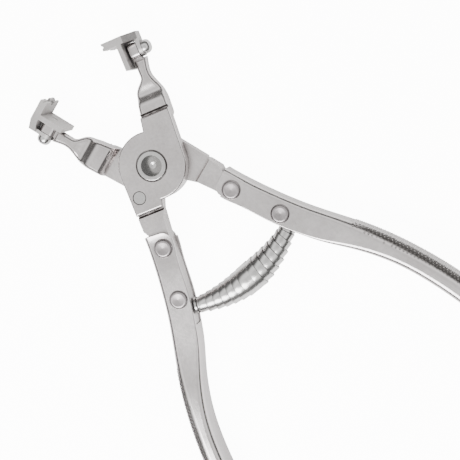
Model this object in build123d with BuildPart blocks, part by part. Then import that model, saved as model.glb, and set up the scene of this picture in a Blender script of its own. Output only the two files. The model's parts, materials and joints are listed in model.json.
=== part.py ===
from build123d import *
import os
from math import cos, sin, tan, radians, degrees, atan2, hypot

# ---------------------------------------------------------------------------
# Crimping pliers for open end clamps, lying flat and held open by the spring.
# Millimetres.  X points to the jaws, Z up, the pivot axis is Z through the
# origin.  Lever A has its jaw on the -Y side, lever B is the same forging
# turned over about the X axis.
# ---------------------------------------------------------------------------

# overall
grip_width = 16.0                 # width of the grips and of the tip saddles, across Z
mid_z = grip_width / 2            # plane where the two levers lap
open_half_angle = 18.5            # each tip stands this far from closed
closing_angle = 2 * open_half_angle

# clearances
lap_gap = 0.10                    # between the two lapped bosses
running_fit = 0.05                # pins turning in holes, radial
snug_fit = 0.02                   # pins held in holes, radial
seat_gap = 0.05                   # faces that bear on one another in one body
tang_end_gap = 0.2                # end of the tang to the closed grip
swing_gap = 0.30                  # faces that pass one another

# forging: lapped boss round the pivot
boss_radius = 14.0
boss_height = 5.5                 # from the lap plane to the outer face
boss_edge = 0.8                   # rounding of the outer rim
jaw_half_thickness = 4.5
tang_half_thickness = 4.0
step_groove = 1.5                 # groove between the boss and the jaw or tang
step_groove_depth = 1.5
jaw_edge_slope = 22.0             # outer edge of the jaw, degrees below X
tang_edge_slope = 18.9            # outer edge of the tang, degrees above -X

# forging: neck and tongue that carry the saddle (u along the saddle, v across it)
neck_half_thickness = 2.8
neck_inner_v = -8.6
neck_outer_v = -14.0
neck_end_u = 41.2
scoop_start_u = 22.2
scoop_low_u = 28.0
scoop_low = 2.3                   # half thickness at the bottom of the scoop
scoop_end_u = 32.0
swivel_u = 44.9
eye_half = 3.3                    # half width of the eye at the end of the neck
eye_corner = 2.1                  # rounding, so the saddle's end wall can swing past
tongue_depth = 3.6

# pivot
pivot_radius = 4.6
pivot_head_radius = 7.6
pivot_dimple_radius = 4.3
pivot_dimple_depth = 2.6
collar_radius = 6.0
collar_rise = 0.6                 # above the boss face
collar_seat_depth = 1.0
collar_seat_gap = 0.55            # the ring groove left round the collar

# stop pin near the rim of boss A, running in a notch in the rim of boss B
stop_pin_centre = (-6.5, 12.5)
stop_pin_radius = 2.8
stop_pin_overrun = 3.0            # degrees of free notch past the closed position

# handle channels, pressed from sheet
sheet = 1.75
channel_root_width = 2 * (tang_half_thickness + sheet)   # bears on the tang, with seat_gap each side

channel_front_corner = 3.2
grip_end_rounding = 1.8

# rivets through channel and tang
rivet_centres = [(-28.0, 18.5), (-47.7, 27.4)]
rivet_radius = 2.4
rivet_head_radius = 3.85
rivet_head_height = 0.9
rivet_dish_depth = 0.3

# return spring, a flat strip wound as a double volute and bowed round the pivot
spring_path_radius = 59.4
spring_seat_angle = 24.8          # tang seats, either side of the -X axis
spring_turns = 13
spring_end_radius = 3.75
spring_mid_radius = 6.5
spring_strip = 0.5
spring_step = 0.5                 # width of the edge left by each turn
spring_post_radius = 2.2          # peg inside the end coil
spring_post_length = 4.6
spring_post_shoulder_radius = 3.5
spring_post_shoulder = 0.8
spring_post_stem_radius = 1.7     # driven into the tang
spring_post_stem = 2.3

# tip saddles
saddle_start_u = 38.3
saddle_end_u = 52.0
saddle_face_v = -5.8
saddle_plate = 2.0
prong_width = 3.0
prong_tip_v = -0.2
prong_notch = 1.6
end_wall_foot = 3.4               # half width of the end wall at the lip
lip_thickness = 1.5
lip_radius = 3.3
swivel_pin_radius = 1.3
swivel_head_radius = 2.9
swivel_head_height = 3.4
washer_radius = 2.4

# derived
half_grip = grip_width / 2
tip_angle = radians(open_half_angle)
u_dir = Vector(cos(tip_angle), -sin(tip_angle), 0)
v_dir = Vector(sin(tip_angle), cos(tip_angle), 0)
boss_face_z = mid_z + boss_height
plate_back_v = saddle_face_v - saddle_plate
tongue_outer_v = neck_inner_v - tongue_depth
lip_inner_v = tongue_outer_v - swing_gap
lip_outer_v = lip_inner_v - lip_thickness
wall_inner_u = saddle_end_u - prong_width

flat = Plane.XY
uv_plane = Plane(origin=(0, 0, 0), x_dir=u_dir, z_dir=(0, 0, 1))


def across_v(v):
    """Plane square to the swivel axis; local x runs along u, local y is Z from mid_z."""
    return Plane(origin=v_dir * v + Vector(0, 0, mid_z), x_dir=u_dir, z_dir=v_dir * -1)


def upright(direction):
    """Plane through the pivot axis: local x runs outward, local y is Z."""
    out = Vector(cos(radians(direction)), sin(radians(direction)), 0)
    return Plane(origin=(0, 0, 0), x_dir=out, z_dir=out.cross(Vector(0, 0, 1)))


def turned_over(shape):
    """The same shape turned half a turn about the X direction at the lap plane."""
    return shape.rotate(Axis((0, 0, mid_z), (1, 0, 0)), 180)


def edge_line(slope, along, reach):
    """Point on the straight edge tangent to the boss, at distance reach past the tangent."""
    normal = radians(slope)
    return (boss_radius * cos(normal) + reach * cos(along), boss_radius * sin(normal) + reach * sin(along))


# stations along the handle: outer edge point, rise angle, depth, width, back and front radii
widening = grip_width - channel_root_width
open_stations = 5                 # the first stations, where the channel is open for the tang
handle_stations = [
    (-20.0, 22.2, 22.0, 10.5, channel_root_width, 1.9, 0.3),
    (-30.0, 26.1, 23.5, 10.5, channel_root_width, 1.9, 0.3),
    (-40.0, 30.7, 25.8, 10.8, channel_root_width, 1.9, 0.3),
    (-50.0, 35.9, 28.8, 11.1, channel_root_width, 2.0, 0.4),
    (-54.5, 38.5, 30.0, 11.15, channel_root_width + 0.02 * widening, 2.05, 0.6),
    (-60.0, 41.9, 31.3, 11.2, channel_root_width + 0.04 * widening, 2.1, 1.0),
    (-70.0, 48.2, 30.5, 10.3, channel_root_width + 0.3 * widening, 2.8, 1.8),
    (-80.0, 53.7, 26.6, 9.2, channel_root_width + 0.67 * widening, 3.6, 2.2),
    (-90.0, 58.3, 23.0, 8.5, grip_width - 0.5, 4.1, 2.4),
    (-100.0, 62.2, 19.4, 8.4, grip_width - 0.1, 4.2, 2.5),
    (-115.0, 66.9, 15.0, 8.6, grip_width - 0.02, 4.3, 2.5),
    (-130.0, 70.3, 10.4, 8.6, grip_width - 0.1, 4.3, 2.5),
    (-139.6, 71.9, 8.2, 8.3, grip_width - 0.5, 4.1, 2.5),
    (-142.0, 72.2, 7.5, 8.2, grip_width - 0.7, 4.1, 2.5),
]


def inward(station, depth, short=0.0):
    """Point lying depth millimetres inside the outer edge at a handle station, or short of it."""
    rise = radians(station[2])
    return (station[0] - depth * sin(rise) + short * cos(rise),
            station[1] - depth * cos(rise) - short * sin(rise))


# jaw outline points of lever A
jaw_normal = -90.0 - jaw_edge_slope
jaw_along = radians(-jaw_edge_slope)
tang_normal = 90.0 - tang_edge_slope
tang_along = radians(180.0 - tang_edge_slope)
jaw_shoulder_dir = -18.2          # direction the jaw step faces, degrees
jaw_shoulder_foot = boss_radius + 1.4
jaw_step_at = boss_radius + 4.9
tang_shoulder_dir = 161.5
tang_shoulder_foot = boss_radius + 3.4
tang_step_at = boss_radius + 2.6


def to_xy(u, v):
    point = u_dir * u + v_dir * v
    return (point.X, point.Y)


def lever_blank():
    """The forging shared by both levers, in the position of lever A."""
    with BuildPart() as blank:
        # jaw and neck outline
        with BuildSketch(Plane.XY.offset(mid_z - jaw_half_thickness)):
            with BuildLine():
                outer_root = edge_line(jaw_normal, jaw_along, 0)
                outer_end = edge_line(jaw_normal, jaw_along, 26.5)
                waist = to_xy(33.8, -13.0)
                heel = to_xy(neck_end_u, neck_outer_v)
                toe = to_xy(neck_end_u, neck_inner_v)
                Polyline(outer_end, outer_root, (0, 0), (12.6, -6.2), (20.0, -10.2), (24.6, -12.5))
                Spline((24.6, -12.5), (27.4, -15.4), to_xy(34.6, neck_inner_v),
                       tangents=[(0.9, -0.44), tuple(u_dir)])
                Polyline(to_xy(34.6, neck_inner_v), toe, heel)
                Spline(heel, waist, outer_end, tangents=[(-0.86, 0.52), (-0.93, 0.37)])
            make_face()
        extrude(amount=2 * jaw_half_thickness)
        # the jaw is scooped down on both faces to the slimmer neck
        with BuildSketch(across_v(0)):
            with BuildLine():
                Polyline((scoop_start_u, jaw_half_thickness), (-25, jaw_half_thickness),
                         (-25, -jaw_half_thickness), (scoop_start_u, -jaw_half_thickness))
                Spline((scoop_start_u, -jaw_half_thickness), (scoop_low_u, -scoop_low),
                       (scoop_end_u, -neck_half_thickness), tangents=[(1, 0), (1, 0), (1, 0)])
                Polyline((scoop_end_u, -neck_half_thickness), (60, -neck_half_thickness),
                         (60, neck_half_thickness), (scoop_end_u, neck_half_thickness))
                Spline((scoop_end_u, neck_half_thickness), (scoop_low_u, scoop_low),
                       (scoop_start_u, jaw_half_thickness), tangents=[(-1, 0), (-1, 0), (-1, 0)])
            make_face()
        extrude(amount=60, both=True, mode=Mode.INTERSECT)
        neck_edges = blank.edges().filter_by(
            lambda e: abs(abs(e.center().Z - mid_z) - neck_half_thickness) < 0.35
            and e.length > 4 and (e.center().X > 25))
        fillet(neck_edges, radius=1.6)
        # round eye for the saddle, with a groove where the neck meets it
        with BuildSketch(across_v(neck_inner_v)):
            with Locations((neck_end_u - 0.1, neck_half_thickness - 0.9 + half_grip),
                           (neck_end_u - 0.1, 0.9 - neck_half_thickness - half_grip)):
                Rectangle(0.9, grip_width)
        extrude(amount=20, both=True, mode=Mode.SUBTRACT)
        with BuildSketch(across_v(neck_inner_v)):
            with BuildLine():
                Polyline((swivel_u, neck_half_thickness - 1.0), (neck_end_u - 1.2, neck_half_thickness - 1.0),
                         (neck_end_u - 1.2, 1.0 - neck_half_thickness), (swivel_u, 1.0 - neck_half_thickness),
                         (swivel_u, neck_half_thickness - 1.0))
            make_face()
            with Locations((swivel_u, 0)):
                RectangleRounded(2 * eye_half, 2 * eye_half, radius=eye_corner)
        extrude(amount=tongue_depth)
        # boss and its two extensions towards jaw and tang
        with BuildSketch(Plane.XY.offset(mid_z)):
            Circle(boss_radius)
            with BuildLine():
                Polyline((0, 0), edge_line(jaw_normal, jaw_along, 0),
                         edge_line(jaw_normal, jaw_along, 21.5), (18.6, -9.5), (12.6, -6.2), (0, 0))
            make_face()
            with BuildLine():
                Polyline((0, 0), edge_line(tang_normal, tang_along, 0),
                         edge_line(tang_normal, tang_along, 19.0), (-18.0, 9.6), (-12.9, 5.6), (0, 0))
            make_face()
        extrude(amount=boss_height)
        # tang, full width outside the channel and let in by the sheet inside it
        with BuildSketch(Plane.XY.offset(mid_z - tang_half_thickness + seat_gap)):
            held = handle_stations[:open_stations]
            inner_web = [inward(s, sheet + 5 * seat_gap, tang_end_gap) for s in held]
            inner_lip = [inward(s, s[3] - 0.4, tang_end_gap) for s in held]
            with BuildLine():
                Polyline(edge_line(tang_normal, tang_along, 10.0),
                         edge_line(tang_normal, tang_along, 23.6), inner_web[0])
                Spline(*inner_web)
                Polyline(inner_web[-1], inner_lip[-1])
                Spline(*inner_lip[::-1])
                Polyline(inner_lip[0], (-15.6, 9.0), (-12.9, 5.6), edge_line(tang_normal, tang_along, 10.0))
            make_face()
        extrude(amount=2 * (tang_half_thickness - seat_gap))
        # half lap: everything under the boss goes, up to a hollow ramp at each shoulder
        for facing, foot, low in ((jaw_shoulder_dir, jaw_shoulder_foot, mid_z - jaw_half_thickness),
                                  (tang_shoulder_dir, tang_shoulder_foot, mid_z - tang_half_thickness)):
            ramp = 3.0 if low < mid_z - tang_half_thickness else 1.4
            with BuildSketch(upright(facing)):
                with BuildLine():
                    Polyline((-4, mid_z + lap_gap / 2), (foot, mid_z + lap_gap / 2))
                    ThreePointArc((foot, mid_z + lap_gap / 2),
                                  (foot + 0.33 * ramp, mid_z - 0.55 * (mid_z - low)),
                                  (foot + ramp, low - 0.1))
                    Polyline((foot + ramp, low - 0.1), (foot + ramp, -2), (-4, -2),
                             (-4, mid_z + lap_gap / 2))
                make_face()
            extrude(amount=40, both=True, mode=Mode.SUBTRACT)
        # steep risers from the boss face, with a groove at the foot, down to jaw and tang
        for facing, start, low in ((jaw_shoulder_dir, jaw_step_at, mid_z + jaw_half_thickness),
                                   (tang_shoulder_dir, tang_step_at, mid_z + tang_half_thickness - seat_gap)):
            with BuildSketch(upright(facing)):
                with BuildLine():
                    Polyline((start, boss_face_z + 1), (start, boss_face_z),
                             (start + 0.3 * step_groove, low - step_groove_depth),
                             (start + 0.5 * step_groove, low - step_groove_depth),
                             (start + step_groove, low), (start + 14, low), (start + 14, boss_face_z + 1),
                             (start, boss_face_z + 1))
                make_face()
            extrude(amount=30, both=True, mode=Mode.SUBTRACT)
        rim = blank.faces().filter_by(Axis.Z).sort_by(Axis.Z)[-1].outer_wire().edges()
        fillet(rim, radius=boss_edge)
        # bores along Z
        with BuildSketch(flat):
            Circle(pivot_radius + running_fit)
            with Locations(*rivet_centres):
                Circle(rivet_radius + snug_fit)
        extrude(amount=grip_width, mode=Mode.SUBTRACT)
        # swivel bore through the tongue
        with BuildSketch(across_v(neck_inner_v + 1)):
            with Locations((swivel_u, 0)):
                Circle(swivel_pin_radius + running_fit)
        extrude(amount=tongue_depth + 2, mode=Mode.SUBTRACT)
        # flat seat and blind hole for the spring post
        with BuildSketch(spring_plane(0)):
            Circle(spring_post_shoulder_radius + 0.7)
        extrude(amount=-3, mode=Mode.SUBTRACT)
        with BuildSketch(spring_plane(0)):
            Circle(spring_post_stem_radius + snug_fit)
        extrude(amount=spring_post_stem + 0.2, mode=Mode.SUBTRACT)
    return blank.part


def spring_plane(lift):
    """Plane across the spring path at its seat on lever A, facing into the tang."""
    angle = radians(180.0 - spring_seat_angle)
    into_tang = Vector(sin(angle), -cos(angle), 0)
    seat = Vector(cos(angle), sin(angle), 0) * spring_path_radius + Vector(0, 0, mid_z)
    return Plane(origin=seat + into_tang * lift, x_dir=(0, 0, 1), z_dir=into_tang)


blank_shape = lever_blank()

# --- lever A, in front -------------------------------------------------------
with BuildPart() as lever_a_forging:
    add(blank_shape)
    with BuildSketch(Plane.XY.offset(boss_face_z)):
        Circle(collar_radius + collar_seat_gap)
    extrude(amount=-collar_seat_depth, mode=Mode.SUBTRACT)
    with BuildSketch(flat):
        with Locations(stop_pin_centre):
            Circle(stop_pin_radius + snug_fit)
    extrude(amount=grip_width, mode=Mode.SUBTRACT)
lever_a_forging.part.label = "lever_a_forging"

# --- lever B, behind ---------------------------------------------------------
stop_path_radius = hypot(*stop_pin_centre)
stop_start = degrees(atan2(stop_pin_centre[1], stop_pin_centre[0]))
with BuildPart() as lever_b_forging:
    add(turned_over(blank_shape))
    with BuildSketch(flat):
        SlotArc(CenterArc((0, 0), stop_path_radius, stop_start, closing_angle + stop_pin_overrun),
                height=2 * (stop_pin_radius + running_fit))
        with BuildLine():
            ends = (stop_start, stop_start + closing_angle + stop_pin_overrun)
            near = [(stop_path_radius * cos(radians(a)), stop_path_radius * sin(radians(a))) for a in ends]
            far = [(22 * cos(radians(a)), 22 * sin(radians(a))) for a in ends]
            Polyline(near[0], far[0], far[1], near[1], near[0])
        make_face()
    extrude(amount=mid_z, mode=Mode.SUBTRACT)
lever_b_forging.part.label = "lever_b_forging"

# --- pivot -------------------------------------------------------------------
pivot_top = boss_face_z + collar_rise - 0.1
with BuildPart() as pivot_rivet:
    with BuildSketch(upright(0)):
        with BuildLine():
            Polyline((0, 0), (pivot_head_radius - 0.5, 0), (pivot_head_radius, 0.5),
                     (pivot_head_radius, mid_z - boss_height - seat_gap),
                     (pivot_radius, mid_z - boss_height - seat_gap), (pivot_radius, pivot_top),
                     (pivot_dimple_radius, pivot_top), (1.3, pivot_top - pivot_dimple_depth),
                     (0, pivot_top - pivot_dimple_depth - 0.3), (0, 0))
        make_face()
    revolve(axis=Axis.Z)
pivot_rivet.part.label = "pivot_rivet"

with BuildPart() as pivot_collar:
    with BuildSketch(Plane.XY.offset(boss_face_z - collar_seat_depth + seat_gap)):
        Circle(collar_radius)
        Circle(pivot_radius + snug_fit, mode=Mode.SUBTRACT)
    extrude(amount=collar_seat_depth + collar_rise - seat_gap)
    fillet(pivot_collar.edges().group_by(Axis.Z)[-1].sort_by(SortBy.LENGTH)[-1], radius=0.45)
pivot_collar.part.label = "pivot_collar"

# --- stop pin ----------------------------------------------------------------
with BuildPart() as stop_pin:
    with BuildSketch(Plane.XY.offset(mid_z - boss_height + 0.6)):
        with Locations(stop_pin_centre):
            Circle(stop_pin_radius)
    extrude(amount=2 * boss_height - 0.6 - 0.1)
    chamfer(stop_pin.edges().group_by(Axis.Z)[-1], length=0.35)
stop_pin.part.label = "stop_pin"


# --- handle channels ---------------------------------------------------------
def section_plane(station):
    """Plane square to the handle at a station: local x runs inward, local y is Z."""
    lean = radians(station[2])
    into = Vector(-sin(lean), -cos(lean), 0)
    along = Vector(-cos(lean), sin(lean), 0)
    return Plane(origin=(station[0], station[1], mid_z), x_dir=into, z_dir=along)


def box_section(station, wall):
    """Rounded outline of the handle at a station, set in by the wall on every side."""
    depth, half, back, front = station[3] - wall, station[4] / 2 - wall, station[5], station[6]
    middle = 0.6 * station[3]
    with BuildSketch(section_plane(station)) as outline:
        with BuildLine():
            FilletPolyline((middle, half), (wall, half), (wall, -half), (middle, -half),
                           radius=max(back - wall, 0.2))
            FilletPolyline((middle, -half), (depth, -half), (depth, half), (middle, half),
                           radius=max(front - wall, 0.2))
        make_face()
    return outline.sketch.face()


def open_section(station):
    """Outline of the open channel's hollow at a station, running out past its inner side."""
    depth, half, back = station[3] + 3, station[4] / 2 - sheet, station[5]
    with BuildSketch(section_plane(station)) as outline:
        with BuildLine():
            FilletPolyline((depth, half), (sheet, half), (sheet, -half), (depth, -half),
                           radius=max(back - sheet, 0.2))
            Line((depth, -half), (depth, half))
        make_face()
    return outline.sketch.face()


def handle_channel():
    """Pressed handle of lever A: an open channel round the tang, closing to a tube at the grip."""
    with BuildPart() as channel:
        loft([box_section(station, 0) for station in handle_stations])
        end_rim = channel.faces().sort_by(Axis.X)[0].outer_wire().edges()
        fillet(end_rim, radius=grip_end_rounding)
        # the open channel, as far as the spring, then the hollow of the grip
        loft([open_section(station) for station in handle_stations[:open_stations]], mode=Mode.SUBTRACT)
        loft([box_section(station, sheet) for station in handle_stations[open_stations - 1:-1]],
             mode=Mode.SUBTRACT)
        # rounded front corner of each cheek
        first = handle_stations[0]
        corner = inward(first, first[3])
        with BuildSketch(Plane(origin=(corner[0], corner[1], 0),
                               x_dir=section_plane(first).z_dir, z_dir=(0, 0, 1))):
            with Locations((channel_front_corner / 2 - 1, 1.5 - channel_front_corner / 2)):
                Rectangle(channel_front_corner + 2, channel_front_corner + 3)
            with Locations((channel_front_corner, -channel_front_corner)):
                Circle(channel_front_corner, mode=Mode.SUBTRACT)
            with Locations((channel_front_corner + 5, 0)):
                Rectangle(10, 40, mode=Mode.SUBTRACT)
            with Locations((0, -channel_front_corner - 20)):
                Rectangle(40, 40, mode=Mode.SUBTRACT)
        extrude(amount=grip_width, mode=Mode.SUBTRACT)
        with BuildSketch(flat):
            with Locations(*rivet_centres):
                Circle(rivet_radius + snug_fit)
        extrude(amount=grip_width, mode=Mode.SUBTRACT)
        # flats where the rivet heads bear
        for side in (1, -1):
            with BuildSketch(Plane.XY.offset(mid_z + side * channel_root_width / 2)):
                with Locations(*rivet_centres):
                    Circle(rivet_head_radius + 0.25)
            extrude(amount=side * rivet_head_height, mode=Mode.SUBTRACT)
    return channel.part


channel_shape = handle_channel()
with BuildPart() as handle_channel_a:
    add(channel_shape)
handle_channel_a.part.label = "handle_channel_a"
with BuildPart() as handle_channel_b:
    add(turned_over(channel_shape))
handle_channel_b.part.label = "handle_channel_b"


# --- rivets ------------------------------------------------------------------
def handle_rivet(centre):
    """Rivet with a shallow dished head on each side of the channel."""
    head_face = channel_root_width / 2 + seat_gap
    top = head_face + rivet_head_height
    with BuildPart() as rivet:
        with BuildSketch(Plane(origin=(centre[0], centre[1], mid_z), x_dir=(1, 0, 0), z_dir=(0, -1, 0))):
            with BuildLine():
                Polyline((0, rivet_dish_depth - top), (rivet_head_radius * 0.62, -top))
                ThreePointArc((rivet_head_radius * 0.62, -top),
                              (rivet_head_radius * 0.9, -top + 0.3),
                              (rivet_head_radius, -head_face))
                Polyline((rivet_head_radius, -head_face), (rivet_radius, -head_face),
                         (rivet_radius, head_face), (rivet_head_radius, head_face))
                ThreePointArc((rivet_head_radius, head_face), (rivet_head_radius * 0.9, top - 0.3),
                              (rivet_head_radius * 0.62, top))
                Polyline((rivet_head_radius * 0.62, top), (0, top - rivet_dish_depth),
                         (0, rivet_dish_depth - top))
            make_face()
        revolve(axis=Axis((centre[0], centre[1], 0), (0, 0, 1)))
    return rivet.part


rivet_fore = handle_rivet(rivet_centres[0])
rivet_aft = handle_rivet(rivet_centres[1])
with BuildPart() as rivet_a_fore:
    add(rivet_fore)
rivet_a_fore.part.label = "rivet_a_fore"
with BuildPart() as rivet_a_aft:
    add(rivet_aft)
rivet_a_aft.part.label = "rivet_a_aft"
with BuildPart() as rivet_b_fore:
    add(turned_over(rivet_fore))
rivet_b_fore.part.label = "rivet_b_fore"
with BuildPart() as rivet_b_aft:
    add(turned_over(rivet_aft))
rivet_b_aft.part.label = "rivet_b_aft"

# --- return spring and the posts that hold it --------------------------------
with BuildPart() as post:
    with BuildSketch(spring_plane(-seat_gap)):
        Circle(spring_post_stem_radius)
    extrude(amount=spring_post_stem + seat_gap)
    with BuildSketch(spring_plane(-seat_gap)):
        Circle(spring_post_shoulder_radius)
    extrude(amount=-spring_post_shoulder)
    with BuildSketch(spring_plane(-seat_gap - spring_post_shoulder)):
        Circle(spring_post_radius)
    extrude(amount=-(spring_post_length - spring_post_shoulder), taper=6)
with BuildPart() as spring_post_a:
    add(post.part)
spring_post_a.part.label = "spring_post_a"
with BuildPart() as spring_post_b:
    add(turned_over(post.part))
spring_post_b.part.label = "spring_post_b"

spring_lift = spring_post_shoulder + swing_gap
spring_reach = spring_seat_angle - degrees(spring_lift / spring_path_radius)
turn_angle = 2 * spring_reach / spring_turns
step_angle = degrees(spring_step / spring_path_radius)


def spring_sections(inset):
    """Angle and radius of each circle along the bowed spring; every turn is one step."""
    sections = []
    for turn in range(spring_turns):
        place = abs(2 * turn / (spring_turns - 1) - 1)
        coil = spring_mid_radius - (spring_mid_radius - spring_end_radius) * place ** 1.3
        start = -spring_reach + turn * turn_angle
        sections.append((start + step_angle / 2, coil - inset))
        sections.append((start + turn_angle - step_angle / 2, coil - inset))
    return [(-spring_reach, sections[0][1])] + sections[1:-1] + [(spring_reach, sections[-1][1])]


with BuildPart() as return_spring:
    for inset, effect in ((0, Mode.ADD), (spring_strip, Mode.SUBTRACT)):
        for angle, coil_radius in spring_sections(inset):
            bearing = radians(180.0 + angle)
            out = Vector(cos(bearing), sin(bearing), 0)
            onward = Vector(-sin(bearing), cos(bearing), 0)
            with BuildSketch(Plane(origin=out * spring_path_radius + Vector(0, 0, mid_z),
                                   x_dir=(0, 0, 1), z_dir=onward)):
                Circle(coil_radius)
        loft(ruled=True, mode=effect)
return_spring.part.label = "return_spring"

# --- tip saddles, pins and washers -------------------------------------------
swivel_axis = Axis(tuple(u_dir * swivel_u + Vector(0, 0, mid_z)), tuple(v_dir * -1))
with BuildPart() as saddle:
    with BuildSketch(across_v(saddle_face_v)):
        with Locations(((saddle_start_u + saddle_end_u) / 2, 0)):
            Rectangle(saddle_end_u - saddle_start_u, grip_width)
    extrude(amount=saddle_plate)
    with BuildSketch(across_v(prong_tip_v)):
        with Locations((saddle_end_u - prong_width / 2, 0)):
            Rectangle(prong_width, grip_width)
    extrude(amount=prong_tip_v - saddle_face_v)
    with BuildSketch(Plane(origin=u_dir * wall_inner_u + Vector(0, 0, mid_z), x_dir=v_dir, z_dir=u_dir)):
        with BuildLine():
            Polyline((plate_back_v, half_grip), (plate_back_v - 1.2, half_grip),
                     (lip_outer_v, end_wall_foot), (lip_outer_v, -end_wall_foot),
                     (plate_back_v - 1.2, -half_grip), (plate_back_v, -half_grip),
                     (plate_back_v, half_grip))
        make_face()
    extrude(amount=prong_width)
    with BuildSketch(across_v(lip_inner_v)):
        with BuildLine():
            Polyline((swivel_u, -lip_radius), (wall_inner_u + 0.5, -lip_radius),
                     (wall_inner_u + 0.5, lip_radius), (swivel_u, lip_radius))
            ThreePointArc((swivel_u, lip_radius), (swivel_u - lip_radius, 0), (swivel_u, -lip_radius))
        make_face()
    extrude(amount=lip_thickness)
    # notch in the middle of the prong and a shallow groove along its tip
    with BuildSketch(Plane(origin=u_dir * (wall_inner_u - 1) + Vector(0, 0, mid_z),
                           x_dir=v_dir, z_dir=u_dir)):
        with BuildLine():
            Polyline((prong_tip_v + 1, 2.6), (prong_tip_v, 2.0), (prong_tip_v - prong_notch, 0.6),
                     (prong_tip_v - prong_notch, -0.6), (prong_tip_v, -2.0), (prong_tip_v + 1, -2.6),
                     (prong_tip_v + 1, 2.6))
        make_face()
    extrude(amount=prong_width + 2, mode=Mode.SUBTRACT)
    with BuildSketch(uv_plane):
        with BuildLine():
            Polyline((wall_inner_u + 0.8, prong_tip_v + 0.5), (wall_inner_u + 0.8, prong_tip_v),
                     (wall_inner_u + 1.5, prong_tip_v - 0.7), (wall_inner_u + 2.2, prong_tip_v),
                     (wall_inner_u + 2.2, prong_tip_v + 0.5), (wall_inner_u + 0.8, prong_tip_v + 0.5))
        make_face()
    extrude(amount=grip_width, mode=Mode.SUBTRACT)
    with BuildSketch(across_v(0)):
        with Locations((swivel_u, 0)):
            Circle(swivel_pin_radius + snug_fit)
    extrude(amount=20, mode=Mode.SUBTRACT)
with BuildPart() as saddle_a:
    add(saddle.part)
saddle_a.part.label = "saddle_a"
with BuildPart() as saddle_b:
    add(turned_over(saddle.part))
saddle_b.part.label = "saddle_b"

with BuildPart() as pin:
    with BuildSketch(Plane(origin=u_dir * swivel_u + Vector(0, 0, mid_z), x_dir=(0, 0, 1), z_dir=u_dir)):
        head_foot = seat_gap - lip_outer_v
        with BuildLine():
            Polyline((0, head_foot + swivel_head_height), (0, 0.1 - saddle_face_v),
                     (swivel_pin_radius, 0.1 - saddle_face_v), (swivel_pin_radius, head_foot),
                     (swivel_head_radius, head_foot), (swivel_head_radius, head_foot + 0.7))
            Spline((swivel_head_radius, head_foot + 0.7), (0, head_foot + swivel_head_height),
                   tangents=[(0, 1), (-1, 0)])
        make_face()
    revolve(axis=swivel_axis)
with BuildPart() as swivel_pin_a:
    add(pin.part)
swivel_pin_a.part.label = "swivel_pin_a"
with BuildPart() as swivel_pin_b:
    add(turned_over(pin.part))
swivel_pin_b.part.label = "swivel_pin_b"

with BuildPart() as washer:
    with BuildSketch(across_v(plate_back_v - seat_gap)):
        with Locations((swivel_u, 0)):
            Circle(washer_radius)
            Circle(swivel_pin_radius + snug_fit, mode=Mode.SUBTRACT)
    extrude(amount=plate_back_v - neck_inner_v - 2 * seat_gap)
with BuildPart() as swivel_washer_a:
    add(washer.part)
swivel_washer_a.part.label = "swivel_washer_a"
with BuildPart() as swivel_washer_b:
    add(turned_over(washer.part))
swivel_washer_b.part.label = "swivel_washer_b"

# --- export ------------------------------------------------------------------
pieces = [lever_a_forging, lever_b_forging, pivot_rivet, pivot_collar, stop_pin,
          handle_channel_a, handle_channel_b, rivet_a_fore, rivet_a_aft, rivet_b_fore, rivet_b_aft,
          return_spring, spring_post_a, spring_post_b, saddle_a, saddle_b,
          swivel_pin_a, swivel_pin_b, swivel_washer_a, swivel_washer_b]
os.makedirs("parts", exist_ok=True)
for piece in pieces:
    export_step(piece.part, "parts/" + piece.part.label + ".step")
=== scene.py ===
import bmesh
import bpy
import json
import math
from mathutils import Matrix, Vector
from mathutils.bvhtree import BVHTree
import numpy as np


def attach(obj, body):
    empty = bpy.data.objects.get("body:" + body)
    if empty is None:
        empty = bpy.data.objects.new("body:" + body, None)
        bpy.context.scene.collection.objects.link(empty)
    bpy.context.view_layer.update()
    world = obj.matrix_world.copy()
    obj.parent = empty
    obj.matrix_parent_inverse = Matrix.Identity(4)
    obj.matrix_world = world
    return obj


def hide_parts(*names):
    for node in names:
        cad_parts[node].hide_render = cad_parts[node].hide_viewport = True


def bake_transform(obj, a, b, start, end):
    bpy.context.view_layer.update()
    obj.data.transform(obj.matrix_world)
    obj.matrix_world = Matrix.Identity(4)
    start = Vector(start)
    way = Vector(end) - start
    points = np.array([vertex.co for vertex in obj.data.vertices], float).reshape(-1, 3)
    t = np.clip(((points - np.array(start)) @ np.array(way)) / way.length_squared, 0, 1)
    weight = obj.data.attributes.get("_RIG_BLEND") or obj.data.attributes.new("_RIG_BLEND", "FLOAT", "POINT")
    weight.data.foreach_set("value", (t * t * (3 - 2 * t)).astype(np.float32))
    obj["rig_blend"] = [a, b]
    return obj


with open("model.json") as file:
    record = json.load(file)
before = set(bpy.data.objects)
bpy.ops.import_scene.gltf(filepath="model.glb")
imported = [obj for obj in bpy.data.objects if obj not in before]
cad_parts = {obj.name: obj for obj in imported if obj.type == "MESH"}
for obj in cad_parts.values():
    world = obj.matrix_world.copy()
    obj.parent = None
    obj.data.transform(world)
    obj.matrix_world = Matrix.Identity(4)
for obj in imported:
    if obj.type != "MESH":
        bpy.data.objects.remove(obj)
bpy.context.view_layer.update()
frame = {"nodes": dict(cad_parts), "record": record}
nodes = frame["nodes"]
MM = 0.001
MID_HEIGHT = 8.0  # middle of the pliers' thickness, in millimetres above the floor


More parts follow.
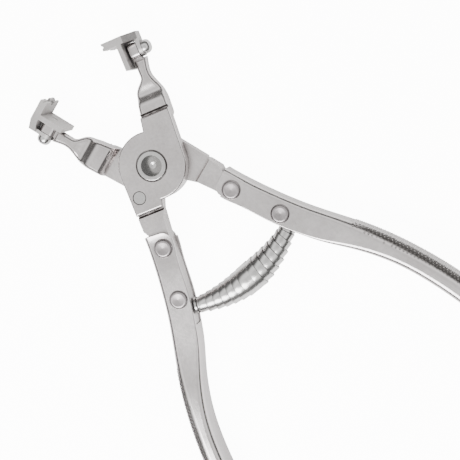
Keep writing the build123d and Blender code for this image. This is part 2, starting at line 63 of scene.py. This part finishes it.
# ---------------------------------------------------------------- materials
class Maker:
    """Small helper that adds nodes to one material and links them."""

    def __init__(self, name):
        self.material = bpy.data.materials.new(name)
        self.material.use_nodes = True
        self.tree = self.material.node_tree
        self.shader = self.tree.nodes["Principled BSDF"]

    def node(self, kind, inputs=None, **settings):
        made = self.tree.nodes.new(kind)
        for key, value in settings.items():
            setattr(made, key, value)
        for key, value in (inputs or {}).items():
            if isinstance(value, bpy.types.NodeSocket):
                self.tree.links.new(value, made.inputs[key])
            else:
                made.inputs[key].default_value = value
        return made

    def link(self, output, target):
        self.tree.links.new(output, target)

    def noise(self, scale, detail, rough):
        place = self.node("ShaderNodeTexCoord").outputs["Object"]
        return self.node("ShaderNodeTexNoise", {"Vector": place, "Scale": scale, "Detail": detail,
                                                "Roughness": rough}).outputs["Fac"]

    def ramp(self, fac, low_stop, high_stop):
        made = self.node("ShaderNodeValToRGB", {"Fac": fac})
        for element, (place, colour) in zip(made.color_ramp.elements, (low_stop, high_stop)):
            element.position = place
            element.color = (*colour, 1.0)
        return made.outputs["Color"]

    def to_range(self, fac, low, high, out_low, out_high):
        return self.node("ShaderNodeMapRange", {"Value": fac, "From Min": low, "From Max": high,
                                                "To Min": out_low, "To Max": out_high}).outputs["Result"]

    def mix(self, share, first, second):
        return self.node("ShaderNodeMix", {"Factor": share, "A": first, "B": second},
                         data_type="RGBA").outputs["Result"]

    def combine(self, operation, first, second):
        return self.node("ShaderNodeMath", {0: first, 1: second}, operation=operation).outputs[0]


# Lengths inside a material are in metres.
EDGE_RADIUS = 0.0006
# Reach of the ambient occlusion that paints shade into corners.
CORNER_REACH = 0.0025
GRAIN_DEPTH = 0.00002
# Edges are painted lighter: partly worn plate, partly a painted highlight.
EDGE_WEAR_AND_HIGHLIGHT = 0.5
WORN_AND_HIGHLIT_BRIGHTNESS = 1.12
# Colour of the painted shade, and how much rougher the plate gets under it.
PAINTED_SHADE_COLOUR = (0.045, 0.040, 0.038, 1.0)
PAINTED_SHADE_DULLNESS = 0.35
# Painted shade on each grip's outer side: how dark it gets, and where round the side and along the grip it
# starts and is full.
SIDE_SHADE_DARKNESS = 0.88
GRIP_FROM, GRIP_FULL = -0.067, -0.074
SIDE_FROM, SIDE_FULL = 0.42, 0.56


def outer_side_shade(m, side):
    """Painted shade on the outer side of the grip that faces Y (1) or -Y (-1), darker where the surface
    turns further that way.
    """
    facing = m.node("ShaderNodeTexCoord")
    outward = m.node("ShaderNodeSeparateXYZ", {0: facing.outputs["Normal"]}).outputs["Y"]
    where = m.node("ShaderNodeSeparateXYZ", {0: facing.outputs["Object"]}).outputs["X"]
    on_back = m.to_range(outward, SIDE_FROM * side, SIDE_FULL * side, 0.0, SIDE_SHADE_DARKNESS)
    on_grip = m.to_range(where, GRIP_FROM, GRIP_FULL, 0.0, 1.0)
    return m.combine("MULTIPLY", on_back, on_grip)


def plated(name, light, dark, rough_low, rough_high, grain=900.0, corner_shade=0.9, shaded_side=0):
    """Nickel plate over steel: cloudy satin tone, polishing grain, edges painted lighter as worn plate and
    as a painted highlight, painted shade darkening the corners.

    On a grip the side flag is 1 or -1, for the way its outer side faces along Y, and that side gets painted
    shade; it is 0 elsewhere.
    """
    m = Maker(name)
    clouds = m.noise(60.0, 5.0, 0.6)
    fine = m.noise(grain, 3.0, 0.6)
    blend = m.node("ShaderNodeMix", {"Factor": 0.35, "A": clouds, "B": fine}, data_type="FLOAT").outputs[0]
    tone = m.ramp(blend, (0.32, dark), (0.68, light))
    edge = m.node("ShaderNodeBevel", {"Radius": EDGE_RADIUS}, samples=4).outputs["Normal"]
    flat = m.node("ShaderNodeNewGeometry").outputs["Normal"]
    turn = m.node("ShaderNodeVectorMath", {0: edge, 1: flat}, operation="DOT_PRODUCT").outputs["Value"]
    # Edges painted lighter, found with the bevel normal: worn plate and a painted highlight.
    wear_and_highlight = m.to_range(turn, 0.985, 0.90, 0.0, EDGE_WEAR_AND_HIGHLIGHT)
    bright = tuple(min(1.0, c * WORN_AND_HIGHLIT_BRIGHTNESS) for c in light)
    rubbed_and_highlit = m.mix(wear_and_highlight, tone, (*bright, 1.0))
    # Painted shade: darker in corners and creases, found by ambient occlusion, broken into random patches.
    shut_in = m.node("ShaderNodeAmbientOcclusion", {"Distance": CORNER_REACH}, samples=8).outputs["AO"]
    patches = m.to_range(m.noise(420.0, 4.0, 0.7), 0.3, 0.7, 0.35, 1.0)
    depth = m.to_range(shut_in, 0.78, 0.40, 0.0, corner_shade)
    painted_shade = m.combine("MULTIPLY", depth, patches)
    # Painted shade on the grip's outer side.
    if shaded_side:
        painted_shade = m.combine("MAXIMUM", painted_shade, outer_side_shade(m, shaded_side))
    m.link(m.mix(painted_shade, rubbed_and_highlit, PAINTED_SHADE_COLOUR), m.shader.inputs["Base Color"])
    rough = m.to_range(blend, 0.3, 0.7, rough_low, rough_high)
    dull = m.combine("ADD", rough, m.to_range(painted_shade, 0.0, 1.0, 0.0, PAINTED_SHADE_DULLNESS))
    m.link(dull, m.shader.inputs["Roughness"])
    m.shader.inputs["Metallic"].default_value = 1.0
    bump = m.node("ShaderNodeBump", {"Strength": 0.35, "Distance": GRAIN_DEPTH, "Height": fine})
    m.link(bump.outputs["Normal"], m.shader.inputs["Normal"])
    return m.material


GRIP_LIGHT, GRIP_DARK = (0.77, 0.735, 0.73), (0.65, 0.615, 0.61)
forged = plated("forged_plate", (0.73, 0.695, 0.69), (0.60, 0.565, 0.56), 0.17, 0.30)
pressed = plated("knurl_plate", (0.72, 0.695, 0.685), (0.58, 0.555, 0.55), 0.18, 0.30, 700.0, corner_shade=0.8)
# Each grip has its own copy of the plate, with painted shade on its own outer side.
pressed_a = plated("pressed_plate_a", GRIP_LIGHT, GRIP_DARK, 0.16, 0.27, 700.0, shaded_side=1)
pressed_b = plated("pressed_plate_b", GRIP_LIGHT, GRIP_DARK, 0.16, 0.27, 700.0, shaded_side=-1)
riveted = plated("rivet_plate", (0.50, 0.465, 0.47), (0.36, 0.335, 0.34), 0.24, 0.40)
pinned = plated("pin_plate", (0.72, 0.71, 0.70), (0.58, 0.57, 0.565), 0.14, 0.26)
sprung = plated("spring_plate", (0.76, 0.75, 0.74), (0.60, 0.59, 0.585), 0.16, 0.28)
saddled = plated("saddle_plate", (0.66, 0.64, 0.63), (0.52, 0.50, 0.49), 0.36, 0.52)
washered = plated("washer_plate", (0.22, 0.215, 0.21), (0.14, 0.135, 0.135), 0.35, 0.50)

channel_finish = {"handle_channel_a": pressed_a, "handle_channel_b": pressed_b}
finish = {"forged_steel": forged, "rivet_steel": riveted, "pin_steel": pinned, "spring_steel": sprung,
          "saddle_steel": saddled, "washer_steel": washered}
for part in frame["record"]["subparts"]:
    surface = nodes[part["node"]].data
    surface.materials.clear()
    surface.materials.append(channel_finish.get(part["node"]) or finish[part["material_slot"]])


def new_object(name, corners, faces):
    """Object from corners in metres and faces, with the faces turned outward."""
    mesh = bpy.data.meshes.new(name)
    mesh.from_pydata([tuple(corner) for corner in corners], [], faces)
    mesh.update()
    work = bmesh.new()
    work.from_mesh(mesh)
    bmesh.ops.recalc_face_normals(work, faces=work.faces)
    work.to_mesh(mesh)
    work.free()
    made = bpy.data.objects.new(name, mesh)
    bpy.context.scene.collection.objects.link(made)
    return made


# ---------------------------------------------------------------- return spring
# Lengths are in millimetres. The spring's middle runs round the pivot, from lever A's post to lever B's.
SPRING_TURNS = 13
PATH_RADIUS = 59.4
SEAT_ANGLE = 24.8  # degrees to either side of the -X axis
SEAT_GAP = 1.1  # post's shoulder and the gap beside it
REACH = math.radians(SEAT_ANGLE) - SEAT_GAP / PATH_RADIUS
STRIP_WIDTH, STRIP_THICK = 5.4, 0.55
COIL_MID_RADIUS, COIL_END_RADIUS = 6.5, 3.75
BARREL_POWER = 1.3
FLARE_A, FLARE_B = 0.06, 0.28  # how far the strip's free edge stands out, on lever A's half and B's
FLARE_ROOM = 0.30
DEAD_TURN_DROP = 0.40


def coil_radius(share):
    """Outer radius of the coil at a share of the way from lever A's post to lever B's."""
    narrowing = COIL_MID_RADIUS - COIL_END_RADIUS
    return COIL_MID_RADIUS - narrowing * abs(2.0 * share - 1.0) ** BARREL_POWER


def strip_corners(share):
    """Cross-section of the wound strip: distance along the spring and from its line."""
    flare, lead = (FLARE_B, 1.0) if share > 0.5 else (FLARE_A, -1.0)
    half = STRIP_WIDTH / 2.0
    profile = [(-half, -0.25 * flare), (-half + 0.2, 0.0), (0.0, 0.1 * flare), (half - 0.3, 0.9 * flare),
               (half, flare - 0.15), (half, flare - STRIP_THICK), (0.0, -STRIP_THICK),
               (-half, -STRIP_THICK - 0.1)]
    return [(lead * along, coil_radius(share) - FLARE_ROOM + rise) for along, rise in profile]


def wound_strip():
    """Corners in metres and faces of the whole strip, with one dead turn at each end."""
    steps_per_turn = 40
    count = SPRING_TURNS * steps_per_turn
    inset = STRIP_WIDTH / 2.0 / (2.0 * REACH * PATH_RADIUS)
    corners, faces = [], []
    for step in range(-steps_per_turn, count + steps_per_turn + 1):
        share = min(1.0, max(0.0, step / count))
        closing = max(-step, step - count, 0) / steps_per_turn
        place = inset + share * (1.0 - 2.0 * inset)
        bearing = math.pi - REACH + 2.0 * REACH * place
        outward = Vector((math.cos(bearing), math.sin(bearing), 0.0))
        onward = Vector((-math.sin(bearing), math.cos(bearing), 0.0))
        middle = outward * PATH_RADIUS + Vector((0, 0, MID_HEIGHT))
        turn = 2.0 * math.pi * step / steps_per_turn
        radial = outward * math.cos(turn) + Vector((0, 0, 1)) * math.sin(turn)
        for along, reach in strip_corners(share):
            corners.append((middle + radial * (reach - DEAD_TURN_DROP * closing) + onward * along) * MM)
    sides = len(strip_corners(0.0))
    rings = count + 2 * steps_per_turn
    for step in range(rings):
        for side in range(sides):
            a = step * sides + side
            b = step * sides + (side + 1) % sides
            faces.append((a, b, b + sides, a + sides))
    faces.append(tuple(reversed(range(sides))))
    faces.append(tuple(range(rings * sides, rings * sides + sides)))
    return corners, faces


volute = new_object("volute_spring", *wound_strip())
for polygon in volute.data.polygons:
    polygon.use_smooth = True
volute.data.set_sharp_from_angle(angle=math.radians(32))
volute.data.materials.append(sprung)
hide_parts("return_spring")
first = Vector((math.cos(math.pi - REACH), math.sin(math.pi - REACH), 0)) * PATH_RADIUS * MM
last = Vector((first.x, -first.y, 0))
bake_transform(volute, "lever_a", "lever_b", first, last)
weights = volute.data.attributes["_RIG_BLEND"]
for vertex, weight in zip(volute.data.vertices, weights.data):  # even along the arc, not along its chord
    bearing = math.atan2(vertex.co.y, vertex.co.x) % (2.0 * math.pi)
    weight.value = min(1.0, max(0.0, (bearing - math.pi + REACH) / (2.0 * REACH)))

# ---------------------------------------------------------------- knurled grips
# Lengths are in millimetres.
KNURL_PITCH = 1.6
KNURL_HEIGHT, KNURL_SINK = 0.30, 0.12  # of a point above the grip's face, and of its foot below it
KNURL_FOOT, KNURL_TOP = 0.74, 0.35  # foot over pitch, and top over foot
KNURL_FROM, KNURL_TO = -69.0, -139.0
KNURL_LOW, KNURL_HIGH = 0.3, 15.7
KNURL_CLEAR = 0.05  # of a point above the floor
SIDE_LIMIT = 0.965  # normal's Z where the rounded corner has turned into a flat side
RAY_FROM = 120.0
PYRAMID = ((0, 1, 5, 4), (1, 2, 6, 5), (2, 3, 7, 6), (3, 0, 4, 7), (4, 5, 6, 7), (3, 2, 1, 0))


def pyramid_corners(face, tip, normal):
    """Four corners under the grip's face, then the four of the blunt top."""
    along = normal.cross(Vector((0, 0, 1))).normalized()
    across = normal.cross(along).normalized()
    foot = face - normal * KNURL_SINK * MM
    half = 0.5 * KNURL_PITCH * KNURL_FOOT * MM
    corners = []
    for centre, reach in ((foot, half), (tip, half * KNURL_TOP)):
        corners += [centre + along * reach, centre + across * reach,
                    centre - along * reach, centre - across * reach]
    return corners


def knurl(node, body, side):
    """Rows of small blunt pyramids on the outer face and rounded corners of one grip."""
    tree = BVHTree.FromObject(nodes[node], bpy.context.evaluated_depsgraph_get())
    points, cells = [], []
    x, row = KNURL_FROM, 0
    while x > KNURL_TO:
        lean = 0.0
        for way in (1, -1):
            z = MID_HEIGHT + way * (0.25 + 0.5 * (row % 2)) * KNURL_PITCH
            while KNURL_LOW < z < KNURL_HIGH:
                start = Vector((x, side * RAY_FROM, z)) * MM
                hit, normal, _, _ = tree.ray_cast(start, Vector((0, -side, 0)))
                if hit is None or abs(normal.z) > SIDE_LIMIT:
                    break
                if abs(z - MID_HEIGHT) < KNURL_PITCH:
                    lean = abs(normal.y)
                tip = hit + normal * KNURL_HEIGHT * MM
                if tip.z > KNURL_CLEAR * MM:
                    cells += [tuple(len(points) + i for i in cell) for cell in PYRAMID]
                    points += pyramid_corners(hit, tip, normal)
                z += way * KNURL_PITCH * max(0.3, math.sqrt(max(0.0, 1.0 - normal.z ** 2)))
        x -= KNURL_PITCH * 0.5 * max(0.5, lean or 0.9)
        row += 1
    obj = new_object("knurl_" + body[-1], points, cells)
    obj.data.materials.append(pressed)
    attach(obj, body)


knurl("handle_channel_a", "lever_a", 1)
knurl("handle_channel_b", "lever_b", -1)

# ---------------------------------------------------------------- stage
FLOOR_GLOW, FLOOR_GLOW_SEEN = 0.6, 12.0  # onto the pliers, and to the camera, where paper looks white
SKY_STRENGTH = 1.45
SKY_LEVELS = [(0.0, 0.10), (0.52, 0.11), (0.74, 1.0), (0.88, 1.0), (0.97, 0.70)]  # Z of the ray, level

bpy.ops.mesh.primitive_plane_add(size=6.0, location=(0, 0, 0))
floor = bpy.context.object
floor.name = "floor"
paper = Maker("floor_paper")
paper.shader.inputs["Base Color"].default_value = (0.95, 0.95, 0.95, 1.0)
paper.shader.inputs["Emission Color"].default_value = (1.0, 0.995, 0.985, 1.0)
seen = paper.node("ShaderNodeLightPath").outputs["Is Camera Ray"]
glow = paper.to_range(seen, 0.0, 1.0, FLOOR_GLOW, FLOOR_GLOW_SEEN)
paper.link(glow, paper.shader.inputs["Emission Strength"])
paper.shader.inputs["Roughness"].default_value = 0.9
floor.data.materials.append(paper.material)


def studio_sky():
    """World that is dark at the horizon and bright in a wide band overhead."""
    world = bpy.data.worlds.new("studio")
    bpy.context.scene.world = world
    world.use_nodes = True
    sky = world.node_tree
    direction = sky.nodes.new("ShaderNodeTexCoord")
    split = sky.nodes.new("ShaderNodeSeparateXYZ")
    sky.links.new(direction.outputs["Generated"], split.inputs[0])
    height = sky.nodes.new("ShaderNodeValToRGB")
    sky.links.new(split.outputs["Z"], height.inputs["Fac"])
    while len(height.color_ramp.elements) < len(SKY_LEVELS):
        height.color_ramp.elements.new(0.5)
    for element, (place, level) in zip(height.color_ramp.elements, SKY_LEVELS):
        element.position = place
        element.color = (level, level, level * 0.99, 1.0)
    sky.links.new(height.outputs["Color"], sky.nodes["Background"].inputs["Color"])
    sky.nodes["Background"].inputs["Strength"].default_value = SKY_STRENGTH


def softbox(name, place, aim, size, power):
    """Rectangular area light, with its place and aim in metres and its power in watts."""
    light = bpy.data.lights.new(name, "AREA")
    light.shape = "RECTANGLE"
    light.size, light.size_y = size
    light.energy = power
    obj = bpy.data.objects.new(name, light)
    bpy.context.scene.collection.objects.link(obj)
    obj.location = place
    obj.rotation_euler = (Vector(aim) - Vector(place)).to_track_quat("-Z", "Y").to_euler()


studio_sky()
softbox("key", (-0.30, 0.40, 0.60), (-0.04, 0, 0), (0.45, 0.35), 5.0)

# ---------------------------------------------------------------- camera
CAMERA_AIM = Vector((-39.65, -6.22, MID_HEIGHT)) * MM
CAMERA_DISTANCE = 0.600
CAMERA_AZIMUTH, CAMERA_ELEVATION, CAMERA_ROLL = -4.59, 75.69, 234.24
SENSOR_WIDTH = 36.0
LENS = 117.149


def add_camera():
    """Camera that looks at its aim from above, rolled about its own line of sight."""
    azimuth, elevation = math.radians(CAMERA_AZIMUTH), math.radians(CAMERA_ELEVATION)
    roll = math.radians(CAMERA_ROLL)
    back = Vector((math.sin(azimuth) * math.cos(elevation), -math.cos(azimuth) * math.cos(elevation),
                   math.sin(elevation)))
    right = Vector((math.cos(azimuth), math.sin(azimuth), 0.0))
    up = back.cross(right)
    turned_right = right * math.cos(roll) + up * math.sin(roll)
    turned_up = up * math.cos(roll) - right * math.sin(roll)
    lens = bpy.data.cameras.new("camera")
    lens.sensor_width = SENSOR_WIDTH
    lens.lens = LENS
    lens.clip_start = 0.01
    camera = bpy.data.objects.new("camera", lens)
    bpy.context.scene.collection.objects.link(camera)
    place = CAMERA_AIM + back * CAMERA_DISTANCE
    camera.matrix_world = Matrix(((turned_right.x, turned_up.x, back.x, place.x),
                                  (turned_right.y, turned_up.y, back.y, place.y),
                                  (turned_right.z, turned_up.z, back.z, place.z),
                                  (0, 0, 0, 1)))
    bpy.context.scene.camera = camera


add_camera()
